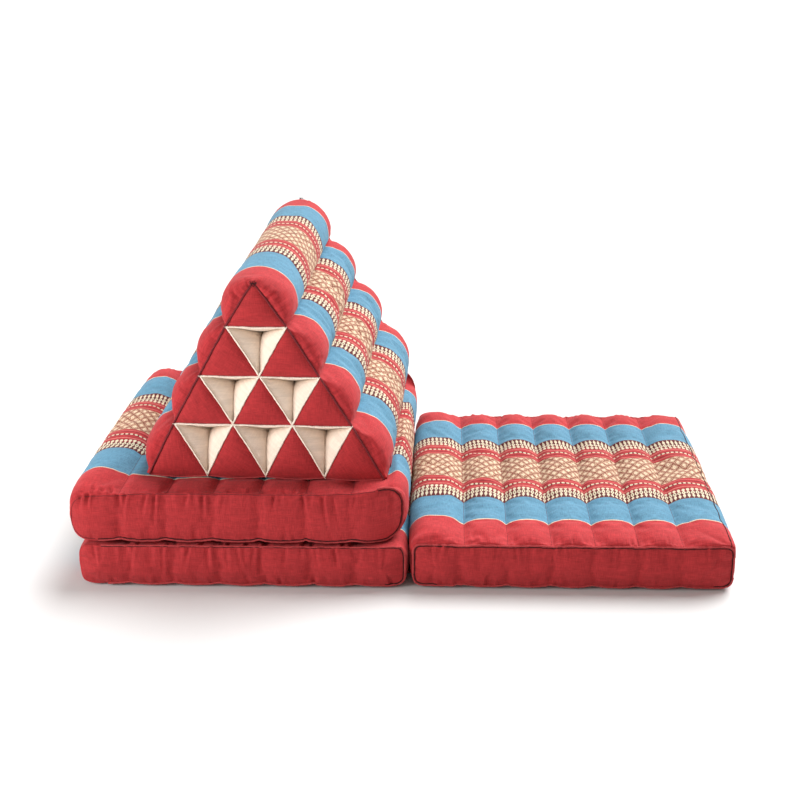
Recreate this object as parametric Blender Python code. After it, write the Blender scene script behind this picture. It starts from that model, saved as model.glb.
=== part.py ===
"""Thai triangle cushion with three fold-out mats.

A filled pyramid of ten tubes stands on two stacked mats, and the third mat lies open beside them.
Metres, +Z up, the end faces and the front panels look to -Y. Run in Blender, in background or from
its text editor.
"""

import math

import bmesh
import bpy
from mathutils import Matrix, Vector

COLLECTION = "thai_triangle_cushion"

# A point this near to a cutting plane counts as on it, and numbers this near count as equal
ON_PLANE = 1e-5
NEAR = 1e-6

# Clearance between pieces that touch
GAP = 0.0003

# The triangle cushion: four rows of tubes, each cell an upright triangle
ROWS = 4
CELL_WIDTH = 0.0905
ROW_HEIGHT = 0.078
BASE_ROW_HEIGHT = 0.0855
APEX_DROP = 0.009
CUSHION_DEPTH = 0.509
LOBE_RISE = 0.0255
APEX_RADIUS = 0.0565
APEX_CENTRE = 0.0155
APEX_WRAP = math.radians(100)
BASE_SAG = 0.0045
BASE_PRESSED = 1.5
CORNER_SWELL = 0.006
CAP_CROWN = 0.007
POCKET_DEPTH = 0.042
POCKET_CURVE = 1.2
LOBE_SWELL_DEPTH = 0.048
CUSHION_CUTS = 6
CUSHION_RINGS = (0.004, 0.014, 0.032, 0.06, 0.15)

# Where it stands: middle of its front base seam, its turn seen from above, and its lean to the left
CUSHION_X = -0.305
CUSHION_Y = 0.075
CUSHION_TURN = math.radians(-2.0)
CUSHION_LEAN = 0.016

# The mats: seven tubes, sewn from the front panel to the back panel
TUBES = 7
MAT_DEPTH = 0.518
LOWER_MAT_TOP = 0.068
LOADED_TOP = 0.1433
UPPER_MAT_RISE = 0.0085
MAT_SWELL_DEPTH = 0.06
CHANNEL_LIFT = 0.004
PANEL_BULGE = 0.006
PANEL_DENT = 0.3
SEAM_INSET = 0.0045
SEAM_SCALLOP = 0.0015
SIDE_SWELL = 0.004
TOP_PRESSED = 1.25
FOOT_PRESSED = 1.6
LOAD_EDGE = 0.02
CORNER_START = 0.36
CORNER_LENGTH = 0.16
SLACK_CORNER = 0.006
PANEL_END = 0.75
DENT_SHARPNESS = 6
TUBE_CUTS = 4
MAT_RINGS = (0.004, 0.02, 0.045, 0.07, 0.16)
PANEL_RINGS = (0.15, 0.5, 0.85)

# Each mat: place of its sides, front and foot, width of its inner tubes, heights of its top seam, of its
# channels and tubes left of a place and of those right of it, how square its sides are at the seams and
# between them, how far its top rises to the back, how far its right corner is drawn in, and the part of
# its width that it loses towards the back
MATS = {
    "mat_outer": {
        "left": -0.082,
        "right": 0.405,
        "front": 0.0,
        "foot": 0.0,
        "pitch": 0.065,
        "seam": 0.071,
        "valley": 0.0745,
        "crown": 0.0905,
        "right_valley": 0.0745,
        "right_crown": 0.085,
        "right_from": -0.001,
        "square": (7.0, 4.5),
        "rise": 0.0,
        "corner_pull": 0.004,
        "taper": 0.0,
    },
    "mat_lower": {
        "left": -0.587,
        "right": -0.0865,
        "front": -0.003,
        "foot": 0.0,
        "pitch": 0.069,
        "seam": 0.0615,
        "valley": 0.0625,
        "crown": LOWER_MAT_TOP,
        "right_valley": 0.0625,
        "right_crown": LOWER_MAT_TOP,
        "right_from": -1.0,
        "square": (7.0, 4.5),
        "rise": 0.0,
        "corner_pull": 0.006,
        "taper": 0.0,
    },
    "mat_upper": {
        "left": -0.594,
        "right": -0.0895,
        "front": 0.014,
        "foot": LOWER_MAT_TOP + GAP,
        "pitch": 0.070,
        "seam": 0.1385,
        "valley": 0.1460,
        "crown": 0.1580,
        "right_valley": 0.1390,
        "right_crown": LOADED_TOP,
        "right_from": -0.512,
        "square": (4.5, 3.0),
        "rise": UPPER_MAT_RISE,
        "corner_pull": 0.032,
        "taper": 0.034,
    },
}

# The hinge strips, sewn between the edges of neighbouring pieces
STRIP_THICK = 0.002
STRIP_END = 0.045
FLOOR_STRIP_WIDTH = 0.0278
LEFT_STRIP_WIDTH = 0.011
LEFT_STRIP_LIFT = 0.0006
RIGHT_STRIP_WIDTH = 0.012


def principled(name, colour, roughness):
    """A plain cloth finish."""
    material = bpy.data.materials.new(name)
    material.use_nodes = True
    shader = material.node_tree.nodes["Principled BSDF"]
    shader.inputs["Base Color"].default_value = (*colour, 1.0)
    shader.inputs["Roughness"].default_value = roughness
    shader.inputs["Metallic"].default_value = 0.0
    material.diffuse_color = (*colour, 1.0)
    return material


def add_object(name, mesh_data, collection, material):
    """Turn a bmesh into a named object with one material and smooth shading."""
    bmesh.ops.recalc_face_normals(mesh_data, faces=mesh_data.faces)
    if mesh_data.calc_volume(signed=True) < 0.0:
        bmesh.ops.reverse_faces(mesh_data, faces=mesh_data.faces)
    bmesh.ops.triangulate(mesh_data, faces=mesh_data.faces)
    mesh = bpy.data.meshes.new(name)
    mesh_data.to_mesh(mesh)
    mesh_data.free()
    mesh.materials.append(material)
    mesh.shade_smooth()
    mesh.set_sharp_from_angle(angle=math.radians(50))
    piece = bpy.data.objects.new(name, mesh)
    collection.objects.link(piece)
    return piece


def swell(distance, reach, power=2.0):
    """0 at the end seam, 1 from `reach` inwards, rising like a quarter ellipse."""
    t = min(max(distance / reach, 0.0), 1.0)
    return (1.0 - (1.0 - t) ** power) ** (1.0 / power)


def arc(s, rise, chord):
    """Height of a circular arc of this rise over its chord, at s from 0 to 1."""
    radius = ((chord / 2) ** 2 + rise**2) / (2 * rise)
    reach = (s - 0.5) * chord
    return math.sqrt(max(radius**2 - reach**2, 0.0)) - (radius - rise)


def cut_across(mesh_data, direction, places):
    """Cut the mesh by planes, given by their shared normal and each one's value along it."""
    normal = Vector(direction)
    for place in places:
        everything = [*mesh_data.verts, *mesh_data.edges, *mesh_data.faces]
        through = normal * place / normal.length_squared
        bmesh.ops.bisect_plane(
            mesh_data, geom=everything, dist=ON_PLANE, plane_co=through, plane_no=normal
        )


def rings_along(depth, half_rings):
    """Places of the rings between two end seams, the same from either end."""
    from_front = list(half_rings) + [depth / 2]
    from_back = [depth - ring for ring in half_rings]
    return sorted(from_front + from_back)


# Triangle cushion


def row_height(row):
    """Height above the base seam of a place counted in rows down from the apex."""
    if row < 1.0:
        return row_height(1.0) + (1.0 - row) * (ROW_HEIGHT - APEX_DROP)
    if row < ROWS - 1:
        return BASE_ROW_HEIGHT + (ROWS - 1 - row) * ROW_HEIGHT
    return (ROWS - row) * BASE_ROW_HEIGHT


def seam_point(row, across):
    """Place in the end face of a lattice point: rows from the apex, cells from the left slope."""
    return Vector(((across - row / 2) * CELL_WIDTH, 0.0, row_height(row)))


def end_face_shift(row, across):
    """How far an end face's point lies inside the seam plane: pockets sink, red triangles stand proud."""
    if across > row - NEAR:
        return 0.0
    down = row - math.floor(row - NEAR)
    along = across - math.floor(across + NEAR)
    if along <= down:
        least = min(1.0 - down, down - along, along)
        return -CAP_CROWN * (1.0 - (1.0 - 3.0 * least) ** 2)
    least = min(1.0 - along, along - down, down)
    return POCKET_DEPTH * (3.0 * least) ** POCKET_CURVE


def apex_lobe(part):
    """Round top tube, from -1 at its left channel to 1 at its right one."""
    round_part = (CUSHION_CUTS - 1) / CUSHION_CUTS
    centre = row_height(1.0) + APEX_CENTRE
    if abs(part) > round_part + NEAR:
        return seam_point(1.0, 0.0 if part < 0 else 1.0)
    angle = part / round_part * APEX_WRAP
    return Vector((APEX_RADIUS * math.sin(angle), 0.0, centre + APEX_RADIUS * math.cos(angle)))


def slope_lobe(row, side):
    """One of the three side tubes of a slope. The side is -1 for the left slope and 1 for the right."""
    chord = math.hypot(CELL_WIDTH / 2, ROW_HEIGHT)
    outwards = Vector((side * ROW_HEIGHT / chord, 0.0, CELL_WIDTH / 2 / chord))
    seam = seam_point(row, row if side > 0 else 0.0)
    if row > ROWS - NEAR:
        return seam + Vector((side * CORNER_SWELL, 0.0, 0.0))
    return seam + outwards * arc(row - math.floor(row + NEAR), LOBE_RISE, chord)


def base_lobe(across):
    """A tube of the bottom row, which sags below the base seam and is pressed flat."""
    part = across - math.floor(across + NEAR)
    pressed = min(1.0, BASE_PRESSED * math.sin(math.pi * part))
    return seam_point(ROWS, across) - Vector((0.0, 0.0, BASE_SAG * pressed))


def full_outline(row, across):
    """Place of an outline point where the tubes have their full round form."""
    on_left = across < NEAR
    on_right = across > row - NEAR
    if row < 1.0 + NEAR:
        return apex_lobe(-row if on_left else row)
    if on_left or on_right:
        return slope_lobe(row, 1 if on_right else -1)
    return base_lobe(across)


def cushion_point(row, across, depth):
    """Final place of a point of the cushion, in its own frame."""
    seam = seam_point(row, across)
    from_end = min(depth, CUSHION_DEPTH - depth)
    if from_end < NEAR:
        shift = end_face_shift(row, across)
        return seam + Vector((0.0, shift if depth < CUSHION_DEPTH / 2 else CUSHION_DEPTH - shift, 0.0))
    round_part = swell(from_end, LOBE_SWELL_DEPTH)
    if row > ROWS - NEAR and NEAR < across < row - NEAR:
        round_part = 1.0
    place = seam.lerp(full_outline(row, across), round_part)
    place.y = depth
    return place


def cushion_place():
    """From the cushion's own frame, whose zero is the middle of its front base seam, to its place."""
    slope = UPPER_MAT_RISE / MAT_DEPTH
    foot = LOADED_TOP + slope * (CUSHION_Y - MATS["mat_upper"]["front"]) + 2 * GAP + BASE_SAG
    lean = Matrix.Shear("YZ", 4, (0.0, 0.0))
    lean[0][2] = -CUSHION_LEAN
    tilt = Matrix.Rotation(math.atan(slope), 4, "X")
    turn = Matrix.Rotation(CUSHION_TURN, 4, "Z")
    return Matrix.Translation((CUSHION_X, CUSHION_Y, foot)) @ tilt @ turn @ lean


def make_triangle_cushion(collection):
    """A three-sided prism, cut along its cells and along the creases of the pockets, then moved to form."""
    shape = bmesh.new()
    bmesh.ops.create_cone(shape, cap_ends=True, segments=3, radius1=1.0, radius2=1.0, depth=1.0)
    corners = ((0.0, 0.0), (ROWS, 0.0), (ROWS, ROWS))
    for vertex in shape.verts:
        turn = math.atan2(vertex.co.y, vertex.co.x) / math.tau * 3
        row, across = corners[round(turn) % 3]
        vertex.co = (row, across, 0.0 if vertex.co.z < 0.0 else CUSHION_DEPTH)
    lines = [index / CUSHION_CUTS for index in range(1, ROWS * CUSHION_CUTS)]
    for direction in ((1.0, 0.0, 0.0), (0.0, 1.0, 0.0), (1.0, -1.0, 0.0)):
        cut_across(shape, direction, lines)
    creases = range(-2 * ROWS, 2 * ROWS)
    for direction in ((1.0, -2.0, 0.0), (-2.0, 1.0, 0.0), (1.0, 1.0, 0.0)):
        cut_across(shape, direction, creases)
    cut_across(shape, (0.0, 0.0, 1.0), rings_along(CUSHION_DEPTH, CUSHION_RINGS))
    for vertex in shape.verts:
        row, across, depth = vertex.co
        row = round(row * 2 * CUSHION_CUTS) / (2 * CUSHION_CUTS)
        across = round(across * 2 * CUSHION_CUTS) / (2 * CUSHION_CUTS)
        vertex.co = cushion_point(row, across, depth)
    shape.transform(cushion_place())
    cloth = principled("red_cotton", (0.53, 0.05, 0.06), 0.85)
    return add_object("triangle_cushion", shape, collection, cloth)


# Mats


def tube_edges(mat):
    """Places of the sides and of the channels across a mat, from left to right."""
    middle = (mat["left"] + mat["right"]) / 2
    first = middle - (TUBES - 2) / 2 * mat["pitch"]
    channels = [first + mat["pitch"] * index for index in range(TUBES - 1)]
    return [mat["left"], *channels, mat["right"]]


def tube_top(mat, x, part, full):
    """Height of the top at a place across a tube: lower at the right, where it is pressed or less full."""
    blend = min(max((x - mat["right_from"]) / LOAD_EDGE + 0.5, 0.0), 1.0)
    crown = mat["crown"] + (mat["right_crown"] - mat["crown"]) * blend
    valley = mat["valley"] + (mat["right_valley"] - mat["valley"]) * blend
    valley = mat["seam"] + (valley - mat["seam"]) * full
    seam_crown = valley + SEAM_SCALLOP
    top = seam_crown + (crown - seam_crown) * full
    shape = min(1.0, TOP_PRESSED * math.sin(math.pi * part))
    return valley + (top - valley) * shape


def tube_foot(mat, part, full):
    """Height of the underside: flat under each tube, lifted at the channels and at the end seams."""
    lift = CHANNEL_LIFT * (1.0 - min(1.0, FOOT_PRESSED * math.sin(math.pi * part)))
    return mat["foot"] + SEAM_INSET * (1.0 - full) + lift * full


def corner_place(mat, edge_x, crown_x, angle, full):
    """Point on the outer half of a side tube, a squared round, at an angle from its middle height."""
    at_seam, at_middle = mat["square"]
    power = 2.0 / (at_seam + (at_middle - at_seam) * full)
    top = tube_top(mat, crown_x, 0.5, full)
    foot = tube_foot(mat, 0.5, full)
    middle = (top + foot) / 2
    reach = edge_x - crown_x
    reach -= math.copysign(SIDE_SWELL * (1.0 - full), reach)
    sine = math.sin(angle)
    x = crown_x + reach * math.cos(angle) ** power
    z = middle + math.copysign((top - foot) / 2 * abs(sine) ** power, sine)
    return x, z


def mat_section(mat, across, up, full):
    """Place in a cross-section of a point on its outline: tubes across from 0 to 7, up from 0 to 1."""
    edges = tube_edges(mat)
    tube = min(int(across + NEAR), TUBES - 1)
    part = across - tube
    x = edges[tube] + (edges[tube + 1] - edges[tube]) * part
    outer_half = max(0.5 - across, across - (TUBES - 0.5))
    if outer_half > NEAR:
        edge_x = edges[0] if across < 1.0 else edges[-1]
        next_x = edges[1] if across < 1.0 else edges[-2]
        crown_x = (edge_x + next_x) / 2
        if NEAR < up < 1.0 - NEAR:
            angle = math.pi / 4 * (up - 0.5) / 0.5
        else:
            angle = math.pi / 2 - math.pi / 4 * outer_half / 0.5
            angle = angle if up > 0.5 else -angle
        return corner_place(mat, edge_x, crown_x, angle, full)
    if up > 0.5:
        return x, tube_top(mat, x, part, full)
    return x, tube_foot(mat, part, full)


def panel_place(mat, across, up):
    """Place in the seam plane of a point inside a boxing panel."""
    top_x, top_z = mat_section(mat, across, 1.0, 0.0)
    foot_x, foot_z = mat_section(mat, across, 0.0, 0.0)
    x = foot_x + (top_x - foot_x) * up
    z = foot_z + (top_z - foot_z) * up
    near_side = max(1.0 - min(across, TUBES - across) / PANEL_END, 0.0)
    if near_side > 0.0:
        side = 0.0 if across < TUBES / 2 else float(TUBES)
        side_x, side_z = mat_section(mat, side, up, 0.0)
        high_x, high_z = mat_section(mat, side, 1.0, 0.0)
        low_x, low_z = mat_section(mat, side, 0.0, 0.0)
        x += near_side * (side_x - (low_x + (high_x - low_x) * up))
        z += near_side * (side_z - (low_z + (high_z - low_z) * up))
    return x, z


def mat_point(mat, across, depth, up):
    """Final place of a point of a mat."""
    from_end = min(depth, MAT_DEPTH - depth)
    outwards = -1.0 if depth < MAT_DEPTH / 2 else 1.0
    on_rim = min(up, 1.0 - up) < NEAR or min(across, TUBES - across) < NEAR
    full = swell(from_end, MAT_SWELL_DEPTH)
    bulge = 0.0
    if from_end < NEAR and not on_rim:
        x, z = panel_place(mat, across, up)
        dent = PANEL_DENT * abs(math.cos(math.pi * across)) ** DENT_SHARPNESS
        edge = min(across, TUBES - across, 1.0)
        bulge = PANEL_BULGE * math.sin(math.pi * up) * (1.0 - dent) * math.sqrt(edge)
    else:
        x, z = mat_section(mat, across, up, full)
    corner = max(abs(across / TUBES - 0.5) - CORNER_START, 0.0) / (0.5 - CORNER_START)
    pull = mat["corner_pull"] if across > TUBES / 2 else min(mat["corner_pull"], SLACK_CORNER)
    y = mat["front"] + depth + outwards * bulge
    y -= outwards * pull * corner**2 * max(1.0 - from_end / CORNER_LENGTH, 0.0)
    x = mat["right"] - (mat["right"] - x) * (1.0 - mat["taper"] * depth / MAT_DEPTH)
    z += mat["rise"] * depth / MAT_DEPTH * (z - mat["foot"]) / (mat["right_crown"] - mat["foot"])
    return Vector((x, y, z))


def make_mat(name, mat, collection, material):
    """A box cut into tubes, rings and panel rows, its points moved to the sewn form."""
    shape = bmesh.new()
    size = Matrix.Diagonal((TUBES, MAT_DEPTH, 1.0, 1.0))
    box_middle = Matrix.Translation((TUBES / 2, MAT_DEPTH / 2, 0.5))
    bmesh.ops.create_cube(shape, size=1.0, matrix=box_middle @ size)
    cut_across(shape, (1.0, 0.0, 0.0), [index / TUBE_CUTS for index in range(1, TUBES * TUBE_CUTS)])
    cut_across(shape, (0.0, 1.0, 0.0), rings_along(MAT_DEPTH, MAT_RINGS))
    cut_across(shape, (0.0, 0.0, 1.0), PANEL_RINGS)
    for vertex in shape.verts:
        vertex.co = mat_point(mat, *vertex.co)
    return add_object(name, shape, collection, material)


# Hinge strips


def make_strip(name, low, high, place, collection, material):
    """A straight narrow strip of cloth between two corners of a box, moved by a place matrix."""
    shape = bmesh.new()
    middle = Matrix.Translation((Vector(low) + Vector(high)) / 2)
    size = Matrix.Diagonal((*(Vector(high) - Vector(low)), 1.0))
    bmesh.ops.create_cube(shape, size=1.0, matrix=middle @ size)
    cut_across(shape, (0.0, 1.0, 0.0), [low[1] + (high[1] - low[1]) * part / 4 for part in (1, 2, 3)])
    shape.transform(place)
    return add_object(name, shape, collection, material)


def make_hinges(collection):
    """Three strips: on the floor, at the left between the stacked mats, and along the triangle."""
    material = principled("striped_cotton", (0.16, 0.42, 0.62), 0.85)
    back = MAT_DEPTH - STRIP_END
    in_place = Matrix.Identity(4)
    join = (MATS["mat_lower"]["right"] + MATS["mat_outer"]["left"]) / 2
    low = (join - FLOOR_STRIP_WIDTH / 2, STRIP_END, 0.0)
    high = (join + FLOOR_STRIP_WIDTH / 2, back, STRIP_THICK)
    make_strip("hinge_floor", low, high, in_place, collection, material)
    side = MATS["mat_lower"]["left"]
    top = LOWER_MAT_TOP + LEFT_STRIP_LIFT
    low = (side, STRIP_END, top - STRIP_THICK)
    high = (side + LEFT_STRIP_WIDTH, back, top)
    make_strip("hinge_left", low, high, in_place, collection, material)
    edge = ROWS * CELL_WIDTH / 2 + CORNER_SWELL + GAP
    low = (edge, STRIP_END, GAP - BASE_SAG)
    high = (edge + STRIP_THICK, CUSHION_DEPTH - STRIP_END, GAP - BASE_SAG + RIGHT_STRIP_WIDTH)
    make_strip("hinge_triangle", low, high, cushion_place(), collection, material)


def stand_over_origin(pieces):
    """Move all pieces together, so that the middle of their common foot is the origin."""
    points = [vertex.co for piece in pieces for vertex in piece.data.vertices]
    low = Vector([min(point[axis] for point in points) for axis in range(3)])
    high = Vector([max(point[axis] for point in points) for axis in range(3)])
    middle = (low + high) / 2
    for piece in pieces:
        piece.data.transform(Matrix.Translation((-middle.x, -middle.y, -low.z)))


def main():
    for old in list(bpy.data.objects):
        bpy.data.objects.remove(old)
    collection = bpy.data.collections.new(COLLECTION)
    bpy.context.scene.collection.children.link(collection)
    make_triangle_cushion(collection)
    cloth = principled("boxing_cotton", (0.45, 0.035, 0.045), 0.85)
    for name, mat in MATS.items():
        make_mat(name, mat, collection, cloth)
    make_hinges(collection)
    stand_over_origin(list(collection.objects))


main()
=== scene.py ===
import math
import random

import bpy
import numpy as np
from mathutils import Matrix, Vector, noise


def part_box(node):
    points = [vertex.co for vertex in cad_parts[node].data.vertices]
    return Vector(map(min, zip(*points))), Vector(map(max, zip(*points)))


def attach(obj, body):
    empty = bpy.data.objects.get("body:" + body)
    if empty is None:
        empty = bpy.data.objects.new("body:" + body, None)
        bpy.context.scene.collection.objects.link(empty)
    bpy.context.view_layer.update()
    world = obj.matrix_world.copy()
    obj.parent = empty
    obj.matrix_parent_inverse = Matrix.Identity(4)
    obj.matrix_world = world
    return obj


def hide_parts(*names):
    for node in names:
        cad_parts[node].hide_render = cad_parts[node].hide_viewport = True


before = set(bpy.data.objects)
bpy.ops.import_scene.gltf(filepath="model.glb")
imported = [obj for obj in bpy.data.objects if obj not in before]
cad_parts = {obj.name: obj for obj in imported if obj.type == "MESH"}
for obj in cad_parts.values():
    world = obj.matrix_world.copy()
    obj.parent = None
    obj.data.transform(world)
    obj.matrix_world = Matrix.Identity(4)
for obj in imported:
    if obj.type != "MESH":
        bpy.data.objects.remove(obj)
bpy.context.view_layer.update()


# Studio: a pale floor, a wide soft key light from behind on the right, a low one from the front on the
# left, and a surround that is white at the horizon and dim above. The camera stands a little right of
# the middle and looks down.

CAMERA_PLACE = (0.0602, -2.0290, 0.9732)
CAMERA_TURN = 0.0359
CAMERA_PITCH = 0.3674
CAMERA_ROLL = 0.0074
CAMERA_LENS = 58.5
SENSOR = 36.0
FLOOR_SIZE = 60.0
FLOOR_DROP = 0.0004
KEY_ANGLE = math.radians(50)
KEY_ENERGY = 6.25
FILL_SIZE = 0.9
FILL_ENERGY = 27.0


def linear(hex_code):
    """An sRGB hex colour as linear RGBA."""
    values = [int(hex_code[at : at + 2], 16) / 255 for at in (1, 3, 5)]
    return (*[v / 12.92 if v <= 0.04045 else ((v + 0.055) / 1.055) ** 2.4 for v in values], 1.0)


def add_node(tree, kind, settings=None, inputs=None, out=0):
    """Add a node with its settings, its inputs given as values or as sockets to link. Gives one output."""
    node = tree.nodes.new(kind)
    for name, value in (settings or {}).items():
        setattr(node, name, value)
    for name, value in (inputs or {}).items():
        if isinstance(value, bpy.types.NodeSocket):
            tree.links.new(value, node.inputs[name])
        else:
            node.inputs[name].default_value = value
    return node if out is None else node.outputs[out]


def put(name, data):
    """An object with this data, in the scene."""
    placed = bpy.data.objects.new(name, data)
    bpy.context.scene.collection.objects.link(placed)
    return placed


def new_material(name):
    """A node material, with its tree and its shader."""
    material = bpy.data.materials.new(name)
    material.use_nodes = True
    return material, material.node_tree, material.node_tree.nodes["Principled BSDF"]


def calc(tree, operation, *values):
    """Add a node of arithmetic on these values or sockets."""
    return add_node(tree, "ShaderNodeMath", {"operation": operation}, dict(enumerate(values)))


def scaled(tree, value, lowest, highest, least, most):
    """Map a value from one range to another."""
    limits = {"From Min": lowest, "From Max": highest, "To Min": least, "To Max": most}
    return add_node(tree, "ShaderNodeMapRange", {}, {"Value": value, **limits})


scene = bpy.context.scene
scene.view_settings.view_transform = "Standard"
camera_data = bpy.data.cameras.new("camera")
camera_data.lens = CAMERA_LENS
camera_data.sensor_width = SENSOR
camera = put("camera", camera_data)
turn = Matrix.Rotation(CAMERA_TURN, 4, "Z") @ Matrix.Rotation(math.pi / 2 - CAMERA_PITCH, 4, "X")
camera.matrix_world = Matrix.Translation(CAMERA_PLACE) @ turn @ Matrix.Rotation(-CAMERA_ROLL, 4, "Z")
scene.camera = camera

key_data = bpy.data.lights.new("key_light", "SUN")
key_data.angle = KEY_ANGLE
key_data.energy = KEY_ENERGY
fill_data = bpy.data.lights.new("fill_light", "AREA")
fill_data.size = FILL_SIZE
fill_data.energy = FILL_ENERGY
for light_data, place, target in (
    (key_data, (1.2, 1.5, 2.15), (0.0, 0.0, 0.0)),
    (fill_data, (-1.7, -1.0, 0.75), (-0.1, -0.1, 0.15)),
):
    light = put(light_data.name, light_data)
    aim = (Vector(target) - Vector(place)).to_track_quat("-Z", "Y")
    light.matrix_world = Matrix.Translation(place) @ aim.to_matrix().to_4x4()

world = bpy.data.worlds.new("studio")
world.use_nodes = True
world.node_tree.nodes["Background"].inputs["Color"].default_value = linear("#FFF7EF")
direction = add_node(world.node_tree, "ShaderNodeTexCoord")
height = add_node(world.node_tree, "ShaderNodeSeparateXYZ", {}, {"Vector": direction}, out=2)
strength = scaled(world.node_tree, height, 0.1, 0.42, 1.0, 0.3)
world.node_tree.links.new(strength, world.node_tree.nodes["Background"].inputs["Strength"])
scene.world = world

floor_mesh = bpy.data.meshes.new("floor")
half = FLOOR_SIZE / 2
corners = [(x * half, y * half, -FLOOR_DROP) for x, y in ((-1, -1), (1, -1), (1, 1), (-1, 1))]
floor_mesh.from_pydata(corners, [], [(0, 1, 2, 3)])
floor_paint, floor_tree, floor_shader = new_material("matt_white_floor")
floor_shader.inputs["Base Color"].default_value = linear("#D2D2D2")
floor_shader.inputs["Roughness"].default_value = 0.9
floor_mesh.materials.append(floor_paint)
put("floor", floor_mesh)


# Mats: three flat covers of striped cotton, each sewn through into seven tubes that run from front to
# back and are stuffed with kapok. A red boxing panel closes the tubes at each end. Two mats lie on each
# other and carry the triangle, the third lies open beside them.

TUBES = 7
MAT_DEPTH = 0.518
MAT_SWELL_DEPTH = 0.055
PANEL_BULGE = 0.006
PANEL_DENT = 0.3
PANEL_WAVE = 0.0022
SEAM_INSET = 0.0045
SEAM_SCALLOP = 0.0015
FOOT_SCALLOP = 0.0035
SIDE_SWELL = 0.004
CHANNEL_LIFT = 0.004
CORNER_START = 0.36
CORNER_LENGTH = 0.16
SLACK_CORNER = 0.006
TUBE_ROUND = 2.3
FOOT_ROUND = 4.0
SIDE_SQUARE = 4.2
LOAD_EDGE = 0.03
COLUMNS_A_TUBE = 14
COLUMNS_A_SIDE = 28
RING_STEP = 0.0072
RING_STEP_AT_SEAM = 0.0022
RING_GROWTH = 1.16
PANEL_RINGS = (0.10, 0.25, 0.42, 0.60, 0.76, 0.90)
RIDGE_START = -0.0240
RIDGE_TURN = 0.018
RIDGE_WIDTH = 0.009
RIDGE_REACH = 0.05
RIDGE_OVERHANG = 0.009
LEAN_LENGTH = 0.12
BACK_PANEL_APART = 2.0

# Stripes of the cloth: distance in mm from the middle of the depth to where each colour begins
STRIPES = (
    (0.0, "#B69C7F"), (43.0, "#8C252C"), (45.4, "#A82C30"), (47.6, "#B56C64"),
    (49.0, "#A82C30"), (52.6, "#74191F"), (54.2, "#A82C30"), (59.0, "#6F171D"),
    (65.0, "#A82C30"), (69.0, "#74191F"), (70.6, "#A82C30"), (73.8, "#B56C64"),
    (75.2, "#A82C30"), (78.0, "#8C252C"), (80.0, "#7A2026"), (89.0, "#541519"),
    (117.0, "#53829B"), (191.4, "#CBB8A0"), (193.8, "#A82C30"),
)
HALF_DEPTH_MM = MAT_DEPTH / 2 * 1000
# Half width of a wheat ear along its length, in shares of the distance between ears
EAR_WIDTHS = (
    (0.0, 0.0), (0.04, 0.30), (0.13, 0.38), (0.24, 0.12), (0.35, 0.38), (0.45, 0.41),
    (0.56, 0.10), (0.68, 0.33), (0.78, 0.29), (0.90, 0.09), (0.999, 0.0),
)


def weave_nodes(tree, uv, contrast):
    """Uneven threads both ways: a shade that the colour is multiplied by, and a height for the bump.

    Real threads are 0.3 mm apart, too fine to show, so these are slubs of about 1.2 by 12 mm.
    """
    threads = []
    for across, along in ((830.0, 85.0), (75.0, 800.0)):
        stretched = add_node(tree, "ShaderNodeMapping", {}, {"Vector": uv, "Scale": (across, along, 1.0)})
        noise_look = {"Vector": stretched, "Scale": 1.0, "Detail": 1.5, "Roughness": 0.6}
        threads.append(add_node(tree, "ShaderNodeTexNoise", {"noise_dimensions": "2D"}, noise_look))
    height = calc(tree, "ADD", threads[0], threads[1])
    shade = scaled(tree, height, 0.65, 1.35, 1.0 - contrast, 1.0 + contrast)
    streaked = add_node(tree, "ShaderNodeMapping", {}, {"Vector": uv, "Scale": (22.0, 170.0, 1.0)})
    cloudy_look = {"Vector": streaked, "Scale": 1.0, "Detail": 2.0}
    cloudy = add_node(tree, "ShaderNodeTexNoise", {"noise_dimensions": "2D"}, cloudy_look)
    cloud = scaled(tree, cloudy, 0.3, 0.7, 0.93, 1.07)
    shade = calc(tree, "MULTIPLY", shade, cloud)
    return shade, height


def shaded(tree, colour, shade):
    """A colour multiplied by a shade."""
    settings = {"data_type": "RGBA", "blend_type": "MULTIPLY"}
    return add_node(tree, "ShaderNodeMix", settings, {0: 1.0, 6: colour, 7: shade}, out=2)


def ramp(tree, place, kind, stops):
    """A colour ramp with these stops, a colour or a grey value at each."""
    node = add_node(tree, "ShaderNodeValToRGB", {}, {"Fac": place}, out=None)
    node.color_ramp.interpolation = kind
    while len(node.color_ramp.elements) < len(stops):
        node.color_ramp.elements.new(0.999)
    for element, (start, value) in zip(node.color_ramp.elements, stops):
        element.position = start
        element.color = linear(value) if isinstance(value, str) else (value, value, value, 1.0)
    return node.outputs["Color"]


def cloth_shader(tree, shader, colour, height, bump=0.5, distance=0.0006):
    """Finish a cotton material: soft, without gloss, with a faint nap."""
    shader.inputs["Roughness"].default_value = 0.86
    shader.inputs["Specular IOR Level"].default_value = 0.25
    shader.inputs["Sheen Weight"].default_value = 0.05
    shader.inputs["Sheen Roughness"].default_value = 0.45
    tree.links.new(colour, shader.inputs["Base Color"])
    relief = {"Strength": bump, "Distance": distance, "Height": height}
    bumped = add_node(tree, "ShaderNodeBump", {}, relief)
    tree.links.new(bumped, shader.inputs["Normal"])


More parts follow.
